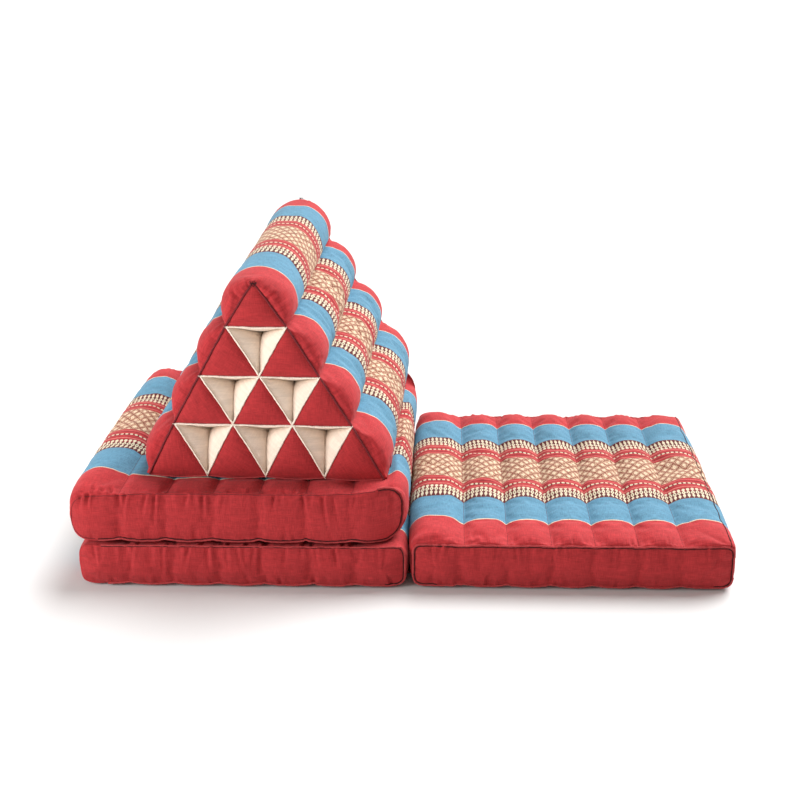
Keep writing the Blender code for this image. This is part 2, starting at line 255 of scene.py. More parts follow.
def striped_cotton():
    """Hand-loom cotton with bands of brocade, which mirror about the middle of the depth.

    The cloth's own coordinates are in metres: u along the stripes, v from the middle of the depth.
    """
    material, tree, shader = new_material("striped_handloom_cotton")
    uv = add_node(tree, "ShaderNodeUVMap", {"uv_map": "cloth"})
    parts = add_node(tree, "ShaderNodeSeparateXYZ", {}, {"Vector": uv}, out=None)
    shade, height = weave_nodes(tree, uv, 0.24)

    # Distance from the middle in mm, a little unsteady like hand weaving
    swaying = {"Vector": uv, "Scale": 18.0, "Detail": 1.0}
    sway = add_node(tree, "ShaderNodeTexNoise", {"noise_dimensions": "2D"}, swaying)
    from_middle = calc(tree, "ABSOLUTE", parts.outputs["Y"])
    in_mm = calc(tree, "MULTIPLY_ADD", from_middle, 1000.0, -0.7)
    place = calc(tree, "MULTIPLY_ADD", sway, 1.4, in_mm)
    share = calc(tree, "DIVIDE", place, HALF_DEPTH_MM)
    colour = ramp(tree, share, "CONSTANT", [(start / HALF_DEPTH_MM, code) for start, code in STRIPES])
    u_mm = calc(tree, "MULTIPLY", parts.outputs["X"], 1000.0)

    # Lattice: diamonds of 16 by 22 mm with brown outlines on tan, each with a brown ring round a cream
    # grain, all a little frayed
    frayed_look = {"Vector": uv, "Scale": 240.0, "Detail": 1.0}
    frayed = add_node(tree, "ShaderNodeTexNoise", {"noise_dimensions": "2D"}, frayed_look)
    along_lattice = calc(tree, "DIVIDE", u_mm, 16.0)
    edges = []
    for period in (22.0, -22.0):
        slanted = calc(tree, "MULTIPLY_ADD", place, 1.0 / period, along_lattice)
        edges.append(calc(tree, "PINGPONG", slanted, 0.5))
    inwards = calc(tree, "MINIMUM", edges[0], edges[1])
    inwards = calc(tree, "MULTIPLY_ADD", inwards, 2.0, -0.2)
    inwards = calc(tree, "MULTIPLY_ADD", frayed, 0.42, inwards)
    rings = ((0.0, "#7C4034"), (0.17, "#B79B7E"), (0.34, "#92594A"), (0.51, "#CFBCA0"), (0.95, "#A5745E"))
    figure = ramp(tree, inwards, "CONSTANT", rings)
    in_lattice = calc(tree, "LESS_THAN", place, 43.0)
    laid_over = {0: in_lattice, 6: colour, 7: figure}
    colour = add_node(tree, "ShaderNodeMix", {"data_type": "RGBA"}, laid_over, out=2)

    # Cream dashes, 5 by 4.4 mm, one every 7.5 mm, along the dark line in the red band
    dash = calc(tree, "FRACT", calc(tree, "DIVIDE", u_mm, 7.5))
    dash = calc(tree, "MULTIPLY", calc(tree, "SUBTRACT", dash, 0.5), 3.0)
    rise = calc(tree, "DIVIDE", calc(tree, "SUBTRACT", place, 62.0), 2.2)
    dash = calc(tree, "ADD", calc(tree, "POWER", dash, 4.0), calc(tree, "POWER", rise, 2.0))
    dash = calc(tree, "LESS_THAN", dash, 1.0)

    # Wheat ears: a bead, a ring with a dark eye and a pointed tail towards the blue, one every 7.2 mm
    slanted = calc(tree, "MULTIPLY_ADD", place, 0.06, u_mm)
    ear = calc(tree, "FRACT", calc(tree, "DIVIDE", slanted, 7.2))
    ear = calc(tree, "ABSOLUTE", calc(tree, "SUBTRACT", ear, 0.5))
    length = scaled(tree, place, 80.0, 117.0, 0.0, 1.0)
    width = ramp(tree, length, "EASE", EAR_WIDTHS)
    wheat = calc(tree, "LESS_THAN", ear, width)
    eye_across = calc(tree, "POWER", calc(tree, "MULTIPLY", ear, 9.0), 2.0)
    eye_along = calc(tree, "MULTIPLY", calc(tree, "SUBTRACT", length, 0.40), 16.0)
    eye = calc(tree, "ADD", eye_across, calc(tree, "POWER", eye_along, 2.0))
    eye = calc(tree, "GREATER_THAN", eye, 1.0)
    wheat = calc(tree, "MULTIPLY", wheat, eye)
    figures = calc(tree, "MAXIMUM", wheat, dash)
    woven_in = {0: figures, 6: colour, 7: linear("#C7BBA2")}
    colour = add_node(tree, "ShaderNodeMix", {"data_type": "RGBA"}, woven_in, out=2)
    colour = shaded(tree, colour, shade)
    height = calc(tree, "MULTIPLY_ADD", figures, 0.5, height)
    cloth_shader(tree, shader, colour, height)
    return material


def plain_cotton(name, hex_code, contrast):
    """Plain hand-loom cotton of one colour."""
    material, tree, shader = new_material(name)
    uv = add_node(tree, "ShaderNodeUVMap", {"uv_map": "cloth"})
    shade, height = weave_nodes(tree, uv, contrast)
    colour = shaded(tree, linear(hex_code), shade)
    cloth_shader(tree, shader, colour, height)
    return material


striped = striped_cotton()
red_cotton = plain_cotton("plain_red_cotton", "#A22A2D", 0.2)


def swell(distance, reach):
    """0 at the end seam, 1 from `reach` inwards, rising like a quarter ellipse."""
    t = clamp(distance / reach)
    return math.sqrt(1.0 - (1.0 - t) ** 2)


def clamp(value):
    """The value, kept between 0 and 1."""
    return min(max(value, 0.0), 1.0)


def ease(value):
    """From 0 to 1 with a soft start and end."""
    t = clamp(value)
    return t * t * (3.0 - 2.0 * t)


def ring_depths(depth):
    """Places of the rings from one end seam to the other, closer together near the seams."""
    front = []
    place = 0.0
    step = RING_STEP_AT_SEAM
    while place < depth / 2 - RING_STEP / 2:
        front.append(place)
        place += step
        step = min(step * RING_GROWTH, RING_STEP)
    return [*front, depth / 2, *[depth - place for place in reversed(front)]]


def even_angles(count):
    """Angles from the underside round a side tube to its top that space its points evenly."""
    fine = [-math.pi / 2 + math.pi * index / 2000 for index in range(2001)]
    power = 2.0 / SIDE_SQUARE
    spots = []
    for angle in fine:
        sine = math.sin(angle)
        spots.append((max(math.cos(angle), 0.0) ** power, math.copysign(abs(sine) ** power, sine)))
    lengths = np.cumsum([0.0, *[math.dist(a, b) for a, b in zip(spots, spots[1:])]])
    wanted = np.linspace(0.0, lengths[-1], count + 1)
    return list(np.interp(wanted, lengths, fine))


def mat_columns():
    """Round the mat from the middle of its underside, by its left side: kind, place across, angle."""
    angles = even_angles(COLUMNS_A_SIDE)
    half_foot = [TUBES / 2 - index / COLUMNS_A_TUBE for index in range(3 * COLUMNS_A_TUBE)]
    columns = [("foot", across, 0.0) for across in half_foot]
    columns += [("left", 0.5, angle) for angle in angles[:-1]]
    columns += [("top", 0.5 + index / COLUMNS_A_TUBE, 0.0) for index in range(6 * COLUMNS_A_TUBE)]
    columns += [("right", TUBES - 0.5, angle) for angle in reversed(angles[1:])]
    columns += [("foot", TUBES - across, 0.0) for across in [0.5, *reversed(half_foot[1:])]]
    return columns


def seam_height(mat, x):
    """Height of a mat's top end seam, which is drawn up where the tubes behind it are squeezed."""
    share = (x - mat["left"]) / (mat["right"] - mat["left"])
    return mat["seam"] + float(np.interp(share, (0.0, 0.25, 0.75, 1.0), mat["seam_lift"]))


def tube_top(mat, x, part, full):
    """Height of a mat's top: lower at the right, where it is less full or something stands on it."""
    blend = ease((x - mat["right_from"]) / LOAD_EDGE + 0.5)
    crown = mat["crown"] + (mat["right_crown"] - mat["crown"]) * blend
    valley = mat["valley"] + (mat["right_valley"] - mat["valley"]) * blend
    seam = seam_height(mat, x)
    valley = seam + (valley - seam) * full
    seam_crown = valley + SEAM_SCALLOP
    rounding = TUBE_ROUND + (FOOT_ROUND - TUBE_ROUND) * blend * mat["pressed"]
    shape = 1.0 - abs(2.0 * part - 1.0) ** rounding
    return valley + (seam_crown + (crown - seam_crown) * full - valley) * shape


def tube_foot(mat, part, full):
    """Height of a mat's underside, pressed flat under each tube, its end seams in shallow scallops."""
    off_middle = abs(2.0 * part - 1.0)
    lift = CHANNEL_LIFT * off_middle**FOOT_ROUND * full
    scallop = FOOT_SCALLOP * off_middle**2 * (1.0 - full)
    return mat["foot"] + SEAM_INSET * (1.0 - full) + lift + scallop


def mat_section(mat, column, full):
    """Place in a cross-section of a mat of one of its columns."""
    kind, across, angle = column
    first = (mat["left"] + mat["right"]) / 2 - (TUBES - 2) / 2 * mat["pitch"]
    edges = [mat["left"], *[first + mat["pitch"] * index for index in range(TUBES - 1)], mat["right"]]
    tube = min(int(across + 1e-6), TUBES - 1)
    part = across - tube
    x = edges[tube] + (edges[tube + 1] - edges[tube]) * part
    if kind == "top":
        return x, tube_top(mat, x, part, full)
    if kind == "foot":
        return x, tube_foot(mat, part, full)
    edge_x = edges[0] if kind == "left" else edges[-1]
    at_seam, at_middle = mat["square"]
    power = 2.0 / (at_seam + (at_middle - at_seam) * full)
    top = tube_top(mat, x, 0.5, full)
    foot = tube_foot(mat, 0.5, full)
    reach = edge_x - x
    reach -= math.copysign(SIDE_SWELL * (1.0 - full), reach)
    sine = math.sin(angle)
    out = max(math.cos(angle), 0.0) ** power
    return x + reach * out, (top + foot) / 2 + math.copysign((top - foot) / 2 * abs(sine) ** power, sine)


def lay_mat_point(mat, x, z, depth, bulge):
    """Place of a point of a mat.

    Its corners are drawn in. Its top may rise and narrow to the back, its front panel may lean, and its
    right tube may stand up beside what lies on the mat.
    """
    from_end = min(depth, MAT_DEPTH - depth)
    outwards = -1.0 if depth < MAT_DEPTH / 2 else 1.0
    share = (x - mat["left"]) / (mat["right"] - mat["left"]) - 0.5
    corner = max(abs(share) - CORNER_START, 0.0) / (0.5 - CORNER_START)
    pull = mat["corner_pull"] if share > 0.0 else min(mat["corner_pull"], SLACK_CORNER)
    y = mat["front"] + depth + outwards * bulge
    y -= outwards * pull * corner**2 * max(1.0 - from_end / CORNER_LENGTH, 0.0)
    x = mat["right"] - (mat["right"] - x) * (1.0 - mat["taper"] * depth / MAT_DEPTH)
    height = (z - mat["foot"]) / (mat["right_crown"] - mat["foot"])
    z += mat["rise"] * depth / MAT_DEPTH * height
    y -= mat["lean"] * clamp(1.0 - height) * max(1.0 - depth / LEAN_LENGTH, 0.0)
    if mat["ridge"]:
        beside = ease((x - RIDGE_START - RIDGE_TURN * depth / MAT_DEPTH) / RIDGE_WIDTH)
        z += mat["ridge"] * beside * clamp(height * 2.0 - 1.0) * swell(from_end, MAT_SWELL_DEPTH)
        near_edge = clamp((x - mat["right"]) / RIDGE_REACH + 1.0)
        x += RIDGE_OVERHANG * depth / MAT_DEPTH * near_edge * clamp(height)
    return (x, y, z)


class Cover:
    """A cloth cover while it is cut: its points, and its faces with their cloth coordinates and finish."""

    def __init__(self):
        self.points = []
        self.faces = []
        self.cloth = []
        self.finish = []
        self.sewn = set()
        self.creases = []

    def add_face(self, corners, cloth, finish):
        self.faces.append(corners)
        self.cloth += cloth
        self.finish.append(finish)

    def make(self, name, materials):
        mesh = bpy.data.meshes.new(name)
        mesh.from_pydata(self.points, [], self.faces)
        layer = mesh.uv_layers.new(name="cloth")
        layer.data.foreach_set("uv", np.array(self.cloth, np.float32).ravel())
        mesh.polygons.foreach_set("material_index", self.finish)
        for material in materials:
            mesh.materials.append(material)
        sharp = {tuple(sorted(edge)): sharpness for *edge, sharpness in self.creases}
        attribute = mesh.attributes.new("crease_edge", "FLOAT", "EDGE")
        values = [sharp.get(tuple(sorted(edge.vertices)), 0.0) for edge in mesh.edges]
        attribute.data.foreach_set("value", values)
        mesh.update()
        return put(name, mesh)


def wrap_cloth(cover, rings, across, along, seams):
    """Join rings of points into the striped cloth that goes round a piece from front to back."""
    count = len(rings[0])
    for ring in rings:
        cover.points += ring
    for row in range(len(rings) - 1):
        for column in range(count):
            following = (column + 1) % count
            corners = (
                row * count + column,
                row * count + following,
                (row + 1) * count + following,
                (row + 1) * count + column,
            )
            u0, u1 = across[column], across[column + 1]
            v0, v1 = along[row], along[row + 1]
            cover.add_face(corners, [(u0, v0), (u1, v0), (u1, v1), (u0, v1)], 0)
        for column in seams:
            cover.creases.append((row * count + column, (row + 1) * count + column, 0.75))
    for row in (0, len(rings) - 1):
        for column in range(count):
            cover.creases.append((row * count + column, row * count + (column + 1) % count, 0.9))
            cover.sewn.add(row * count + column)
    for row in range(len(rings)):
        cover.sewn.update(row * count + column for column in seams)


def girths(ring):
    """Length of cloth from the top middle of a closed ring of points to each of them, round both ways."""
    loop = [*ring, ring[0]]
    lengths = np.cumsum([0.0, *[math.dist(a, b) for a, b in zip(loop, loop[1:])]])
    return list(lengths - lengths[-1] / 2)


def make_mat(mat):
    """Cut and close the cover of one mat."""
    columns = mat_columns()
    count = len(columns)
    depths = ring_depths(MAT_DEPTH)
    cover = Cover()
    rings = []
    for depth in depths:
        full = swell(min(depth, MAT_DEPTH - depth), MAT_SWELL_DEPTH)
        ring = []
        for column in columns:
            x, z = mat_section(mat, column, full)
            ring.append(lay_mat_point(mat, x, z, depth, 0.0))
        rings.append(ring)
    channels = [
        index
        for index, (kind, across, angle) in enumerate(columns)
        if kind in ("top", "foot") and abs(across - round(across)) < 1e-6
    ]
    along = [depth - MAT_DEPTH / 2 for depth in depths]
    wrap_cloth(cover, rings, girths(rings[len(rings) // 2]), along, channels)
    leftmost = 3 * COLUMNS_A_TUBE + COLUMNS_A_SIDE // 2
    for end_row, depth in ((0, 0.0), (len(rings) - 1, MAT_DEPTH)):
        rim = [mat_section(mat, column, 0.0) for column in columns]
        levels = [[end_row * count + index for index in range(count)]]
        apart = BACK_PANEL_APART if end_row else 0.0
        flat = [[(x + apart, z) for x, z in rim]]
        for share in PANEL_RINGS:
            level = []
            places = []
            for index, (kind, across, angle) in enumerate(columns):
                x, z = rim[index]
                mirrored = rim[(2 * leftmost - index) % count]
                if kind in ("left", "right"):
                    side = 0.5 if kind == "left" else TUBES - 0.5
                    middle_x = mat_section(mat, ("top", side, 0.0), 0.0)[0]
                else:
                    middle_x = (x + mirrored[0]) / 2
                middle_z = (z + mirrored[1]) / 2
                x += (middle_x - x) * share
                z += (middle_z - z) * share
                dent = PANEL_DENT * abs(math.cos(math.pi * across)) ** 6
                bulge = PANEL_BULGE * math.sin(math.pi / 2 * share) * (1.0 - dent)
                wave = noise.noise((x * 34.0, depth * 9.0, z * 13.0))
                bulge += PANEL_WAVE * wave * math.sin(math.pi / 2 * share)
                level.append(len(cover.points))
                cover.points.append(lay_mat_point(mat, x, z, depth, min(bulge, PANEL_BULGE + 0.001)))
                places.append((x + apart, z))
            levels.append(level)
            flat.append(places)
        for ring in range(len(PANEL_RINGS)):
            for index in range(count):
                following = (index + 1) % count
                spots = [(ring, following), (ring, index), (ring + 1, index), (ring + 1, following)]
                if end_row:
                    spots.reverse()
                cover.add_face([levels[a][b] for a, b in spots], [flat[a][b] for a, b in spots], 1)
        inner = levels[-1]
        for step in range(count // 2):
            upper = [(leftmost + step) % count, (leftmost + step + 1) % count]
            lower = [(leftmost - step - 1) % count, (leftmost - step) % count]
            corners = [upper[1], upper[0], lower[1], lower[0]]
            if step == 0:
                corners = [upper[1], upper[0], lower[0]]
            elif step == count // 2 - 1:
                corners = [upper[1], upper[0], lower[1]]
            if end_row:
                corners.reverse()
            cover.add_face([inner[index] for index in corners], [flat[-1][index] for index in corners], 1)
    return cover, rings, channels


# Each mat: its width and the pitch of its tubes, the heights of its top end seam, channels and crowns, those
# of its right part from right_from on, how flat that part is pressed, how its right tube, front panel and
# seam depart from a plain mat, how square its side tubes are, its rise and taper to the back
MATS = {
    "mat_outer": dict(
        width=0.487, pitch=0.065, seam=0.071, valley=0.0745, crown=0.0905, right_valley=0.0745,
        right_crown=0.085, right_from=0.0927, pressed=0.0, ridge=0.0, lean=0.0,
        seam_lift=(0.0, 0.0, 0.0, 0.0), square=(7.0, 4.2), rise=0.0, corner_pull=0.004, taper=0.0,
    ),
    "mat_lower": dict(
        width=0.5005, pitch=0.069, seam=0.0615, valley=0.0625, crown=0.068, right_valley=0.0625,
        right_crown=0.068, right_from=-1.0, pressed=1.0, ridge=0.0, lean=0.0,
        seam_lift=(0.006, 0.009, 0.009, 0.008), square=(5.0, 4.2), rise=0.0, corner_pull=0.006,
        taper=0.0,
    ),
    "mat_upper": dict(
        width=0.5100, pitch=0.070, seam=0.1385, valley=0.1460, crown=0.1580, right_valley=0.1390,
        right_crown=0.1433, right_from=-0.4183, pressed=1.0, ridge=0.013, lean=0.009,
        seam_lift=(0.002, 0.0095, 0.0090, 0.0175), square=(2.6, 3.0), rise=0.0085,
        corner_pull=0.032, taper=0.034,
    ),
}
mat_parts = {}
for node, mat in MATS.items():
    low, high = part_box(node)
    mat["right"] = high.x
    mat["left"] = high.x - mat["width"]
    mat["front"] = low.y + PANEL_BULGE
    mat["foot"] = low.z
    mat["highest"] = high.z + mat["ridge"]
    cover, rings, channels = make_mat(mat)
    piece = cover.make(node.replace("mat", "cover_mat"), [striped, red_cotton])
    mat_parts[node] = (piece, cover, rings, channels)


# Triangle cushion: ten tubes sewn together in four rows, wrapped in striped cotton that is caught down
# in the valleys. At each end the tubes close in red triangles, and the pockets between them are lined
# with cream cotton.

ROWS = 4
CELL_WIDTH = 0.0905
ROW_HEIGHT = 0.078
BASE_ROW_HEIGHT = 0.0855
APEX_DROP = 0.009
CUSHION_DEPTH = 0.509
LOBE_RISE = 0.0255
APEX_RADIUS = 0.0565
APEX_CENTRE = 0.0155
APEX_WRAP = math.radians(100)
APEX_ROUND_END = 0.92
BASE_SAG = 0.0045
BASE_PRESSED = 1.5
CORNER_SWELL = 0.006
CAP_CROWN = 0.007
POCKET_DEPTH = 0.058
POCKET_WALL_CROWN = (0.0035, 0.0112, 0.0112)
BASE_SEAM_SAG = 0.0035
LOBE_SWELL_DEPTH = 0.042
APEX_SWELL_DEPTH = 0.024
LOBE_FORWARD = 0.004
CUSHION_TURN = math.radians(-2.0)
CUSHION_LEAN = 0.016
CUSHION_FOOT = (-0.2113, -0.2180, 0.1494)
CELL_COLUMNS = 20
WALL_ROWS = 9
FACE_ROWS = 5
SPOTS_A_CELL = 5040

cream_cotton = plain_cotton("plain_cream_cotton", "#E7D6C6", 0.05)


def row_height(row):
    """Height above the base seam of a place counted in rows down from the apex."""
    if row < 1.0:
        return row_height(1.0) + (1.0 - row) * (ROW_HEIGHT - APEX_DROP)
    if row < ROWS - 1:
        return BASE_ROW_HEIGHT + (ROWS - 1 - row) * ROW_HEIGHT
    return (ROWS - row) * BASE_ROW_HEIGHT


def seam_point(row, across):
    """Place in the end face: rows down from the apex, cells from the left slope. The base seam sags."""
    height = row_height(row)
    if row > ROWS - 1e-6:
        height -= BASE_SEAM_SAG * abs(math.sin(math.pi * across))
    return Vector(((across - row / 2) * CELL_WIDTH, 0.0, height))


def round_outline(row, across, side):
    """Place of an outline point where the tubes have their full round form."""
    seam = seam_point(row, across)
    if row < 1.0 + 1e-6:
        part = row * side
        if row > APEX_ROUND_END:
            end = round_outline(APEX_ROUND_END, APEX_ROUND_END if side > 0 else 0.0, side)
            rest = (row - APEX_ROUND_END) / (1.0 - APEX_ROUND_END)
            return end.lerp(seam_point(1.0, 1.0 if side > 0 else 0.0), rest)
        angle = part / APEX_ROUND_END * APEX_WRAP
        centre = row_height(1.0) + APEX_CENTRE
        return Vector((APEX_RADIUS * math.sin(angle), 0.0, centre + APEX_RADIUS * math.cos(angle)))
    if row > ROWS - 1e-6 and 1e-6 < across < row - 1e-6:
        part = across - math.floor(across + 1e-6)
        pressed = min(1.0, BASE_PRESSED * math.sin(math.pi * part))
        return Vector((seam.x, 0.0, -BASE_SAG * pressed))
    if row > ROWS - 1e-6:
        return seam + Vector((side * CORNER_SWELL, 0.0, 0.0))
    chord = math.hypot(CELL_WIDTH / 2, ROW_HEIGHT)
    outwards = Vector((side * ROW_HEIGHT / chord, 0.0, CELL_WIDTH / 2 / chord))
    part = row - math.floor(row + 1e-6)
    radius = ((chord / 2) ** 2 + LOBE_RISE**2) / (2 * LOBE_RISE)
    rise = math.sqrt(radius**2 - ((part - 0.5) * chord) ** 2) - (radius - LOBE_RISE)
    corner = Vector((side * CORNER_SWELL, 0.0, 0.0)) * max(0.0, row - (ROWS - 1)) ** 3
    return seam + outwards * rise + corner


def cushion_columns():
    """Round the triangle from the middle of its base, by its left slope: row, place across, side."""
    n = CELL_COLUMNS
    columns = [(ROWS, ROWS / 2 - index / n, -1) for index in range(ROWS // 2 * n)]
    columns += [(ROWS - index / n, 0.0, -1) for index in range(ROWS * n)]
    columns += [(index / n, index / n, 1) for index in range(ROWS * n)]
    columns += [(ROWS, ROWS - index / n, 1) for index in range(ROWS // 2 * n)]
    return columns


def end_point(row, across, depth, shift):
    """Place of a point of an end face, `shift` inside its seam plane."""
    point = seam_point(row, across)
    point.y = shift if depth == 0.0 else CUSHION_DEPTH - shift
    return point


low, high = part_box("triangle_cushion")
lean = Matrix.Identity(4)
lean[0][2] = -CUSHION_LEAN
slope = math.atan(MATS["mat_upper"]["rise"] / MAT_DEPTH)
cushion_place = (
    Matrix.Translation(CUSHION_FOOT)
    @ Matrix.Rotation(slope, 4, "X")
    @ Matrix.Rotation(CUSHION_TURN, 4, "Z")
    @ lean
)
columns = cushion_columns()
count = len(columns)
depths = ring_depths(CUSHION_DEPTH)
rings = []
for depth in depths:
    from_end = min(depth, CUSHION_DEPTH - depth)
    ring = []
    for row, across, side in columns:
        reach = APEX_SWELL_DEPTH + (LOBE_SWELL_DEPTH - APEX_SWELL_DEPTH) * min(row / 0.7, 1.0) ** 2
        full = swell(from_end, reach)
        on_slope = row < ROWS - 1e-6
        share = full if on_slope or from_end < 1e-6 else 1.0
        point = seam_point(row, across).lerp(round_outline(row, across, side), share)
        forward = LOBE_FORWARD * 4.0 * full * (1.0 - full) * on_slope
        forward *= abs(math.sin(math.pi * max(row, 0.5)))
        point.y = depth - forward if depth < CUSHION_DEPTH / 2 else depth + forward
        ring.append(point)
    rings.append(ring)
valleys = [
    index for index, (row, across, side) in enumerate(columns)
    if abs(row - round(row)) < 1e-6 and row > 0.5 and abs(across - round(across)) < 1e-6
]
cushion = Cover()
along = [depth - CUSHION_DEPTH / 2 for depth in depths]
wrap_cloth(cushion, rings, girths(rings[len(rings) // 2]), along, valleys)

rim_index = {}
for end_row, depth in ((0, 0.0), (len(depths) - 1, CUSHION_DEPTH)):
    for index, (row, across, side) in enumerate(columns):
        key = (round(row * SPOTS_A_CELL), round(across * SPOTS_A_CELL), depth)
        rim_index[key] = end_row * count + index


def shared_point(row, across, depth, make_place):
    """Number of the point there, made the first time that it is asked for."""
    key = (round(row * SPOTS_A_CELL), round(across * SPOTS_A_CELL), depth)
    if key not in rim_index:
        rim_index[key] = len(cushion.points)
        cushion.points.append(make_place())
    cushion.sewn.add(rim_index[key])
    return rim_index[key]


mouths = []


def close_cell(corners, depth, rows, finish, wall_place, weave_turn):
    """Fill one triangle of an end face with three fans that meet in its middle."""
    centre = sum(corners, Vector((0.0, 0.0))) / 3
    spin = Matrix.Rotation(weave_turn, 2)
    for wall in range(3):
        start, end = corners[wall], corners[(wall + 1) % 3]
        grid = []
        cloth = []
        for level in range(rows + 1):
            t = level / rows
            line = []
            flat = []
            for step in range(CELL_COLUMNS + 1):
                s = step / CELL_COLUMNS
                spot = start.lerp(end, s).lerp(centre, t)
                place = wall_place(corners, wall, s, t)
                line.append(shared_point(spot.x, spot.y, depth, lambda: place))
                base = seam_point(spot.x, spot.y)
                flat.append(tuple(spin @ Vector((base.x, base.z))))
            grid.append(line)
            cloth.append(flat)
        for level in range(rows):
            for step in range(CELL_COLUMNS):
                spots = [(level, step), (level, step + 1), (level + 1, step + 1), (level + 1, step)]
                if level == rows - 1:
                    spots.pop(2)
                if depth == 0.0:
                    spots.reverse()
                cushion.add_face([grid[a][b] for a, b in spots], [cloth[a][b] for a, b in spots], finish)
        if finish == 2:
            mouths.append((list(grid[0]), grid[rows][0]))
            for level in range(rows):
                cushion.creases.append((grid[level][0], grid[level + 1][0], 0.6))
        for step in range(CELL_COLUMNS):
            cushion.creases.append((grid[0][step], grid[0][step + 1], 0.9))


for depth in (0.0, CUSHION_DEPTH):
    inwards = 1.0 if depth == 0.0 else -1.0

    def face_place(corners, wall, s, t):
        """A red triangle, filled so that it stands a little proud."""
        centre = sum(corners, Vector((0.0, 0.0))) / 3
        spot = corners[wall].lerp(corners[(wall + 1) % 3], s).lerp(centre, t)
        shares = [t / 3, t / 3, t / 3]
        shares[wall] += (1.0 - t) * (1.0 - s)
        shares[(wall + 1) % 3] += (1.0 - t) * s
        crown = (27.0 * shares[0] * shares[1] * shares[2]) ** 0.6
        return end_point(spot.x, spot.y, depth, -CAP_CROWN * crown)

    def pocket_place(corners, wall, s, t):
        """A pocket's wall, from the mouth to the deep point, rounded by the filled tube behind it."""
        centre = sum(corners, Vector((0.0, 0.0))) / 3
        start = end_point(*corners[wall], depth, 0.0)
        end = end_point(*corners[(wall + 1) % 3], depth, 0.0)
        deep = end_point(*centre, depth, POCKET_DEPTH)
        across = (end - start).normalized()
        inward = deep - (start + end) / 2
        out = inward.cross(across).normalized()
        if out.y * inwards > 0.0:
            out = -out
        crown = POCKET_WALL_CROWN[wall] * math.sin(math.pi * s) ** 0.6 * math.sin(math.pi * t**0.8)
        return start.lerp(end, s).lerp(deep, t) + out * crown

    for row in range(ROWS):
        for cell in range(row + 1):
            cell_corners = [Vector((row, cell)), Vector((row + 1, cell + 1)), Vector((row + 1, cell))]
            spin = math.radians((0, 90, 35, 0, 60)[(row * 2 + cell) % 5])
            close_cell(cell_corners, depth, FACE_ROWS, 1, face_place, spin)
        for cell in range(row):
            cell_corners = [Vector((row, cell)), Vector((row, cell + 1)), Vector((row + 1, cell + 1))]
            close_cell(cell_corners, depth, WALL_ROWS, 2, pocket_place, math.radians(30))
cushion.points = [cushion_place @ Vector(point) for point in cushion.points]
cushion_piece = cushion.make("cover_triangle", [striped, red_cotton, cream_cotton])


# Filling: each cover is blown up a little against its seams and channels, so that it gets the uneven
# swell of stuffed cloth, and keeps its seams.

SIMULATED_FRAMES = 16
PRESSURE = 4.0
MOST_SWELL = 0.004
TOP_SEAM_LIFT = 0.009


def values_of(items, name, width=1, kind=np.float32):
    """One property of all the vertices, corners or faces of a mesh."""
    values = np.empty(len(items) * width, kind)
    items.foreach_get(name, values)
    return values.reshape(-1, width) if width > 1 else values


def make_plain(piece):
    """Keep what a piece's modifiers make as its mesh."""
    bpy.context.view_layer.update()
    evaluated = piece.evaluated_get(bpy.context.evaluated_depsgraph_get())
    before = piece.data
    piece.data = bpy.data.meshes.new_from_object(evaluated)
    piece.modifiers.clear()
    piece.vertex_groups.clear()
    bpy.data.meshes.remove(before)
    piece.data.name = piece.name
    piece.data.shade_smooth()


def fill_cover(piece, sewn, floor, ceiling):
    """Blow a cover up with its sewn points held, then keep the moved mesh, no point much further off."""
    mesh = piece.data
    rest = values_of(mesh.vertices, "co", 3)
    held = piece.vertex_groups.new(name="sewn")
    held.add(sorted(sewn), 1.0, "REPLACE")
    cloth = piece.modifiers.new("filling", "CLOTH")
    cloth.settings.quality = 5
    cloth.settings.mass = 0.25
    cloth.settings.tension_stiffness = 12.0
    cloth.settings.compression_stiffness = 6.0
    cloth.settings.shear_stiffness = 4.0
    cloth.settings.bending_stiffness = 0.08
    cloth.settings.vertex_group_mass = "sewn"
    cloth.settings.shrink_min = -0.035
    cloth.settings.use_pressure = True
    cloth.settings.uniform_pressure_force = PRESSURE
    cloth.settings.effector_weights.gravity = 0.0
    cloth.collision_settings.use_collision = False
    for step in range(1, SIMULATED_FRAMES + 1):
        scene.frame_set(step)
    evaluated = piece.evaluated_get(bpy.context.evaluated_depsgraph_get())
    shift = values_of(evaluated.data.vertices, "co", 3) - rest
    length = np.linalg.norm(shift, axis=1, keepdims=True)
    shift *= np.tanh(length / MOST_SWELL) * MOST_SWELL / np.maximum(length, 1e-9)
    placed = rest + shift
    placed[:, 2] = np.clip(placed[:, 2], floor, ceiling)
    mesh.vertices.foreach_set("co", placed.ravel())
    piece.modifiers.remove(cloth)
    scene.frame_set(1)
    mesh.update()


def refine(piece):
    """Round the cover once, keeping its seams, and make it a plain mesh."""
    rounding = piece.modifiers.new("rounding", "SUBSURF")
    rounding.levels = 1
    rounding.render_levels = 1
    make_plain(piece)


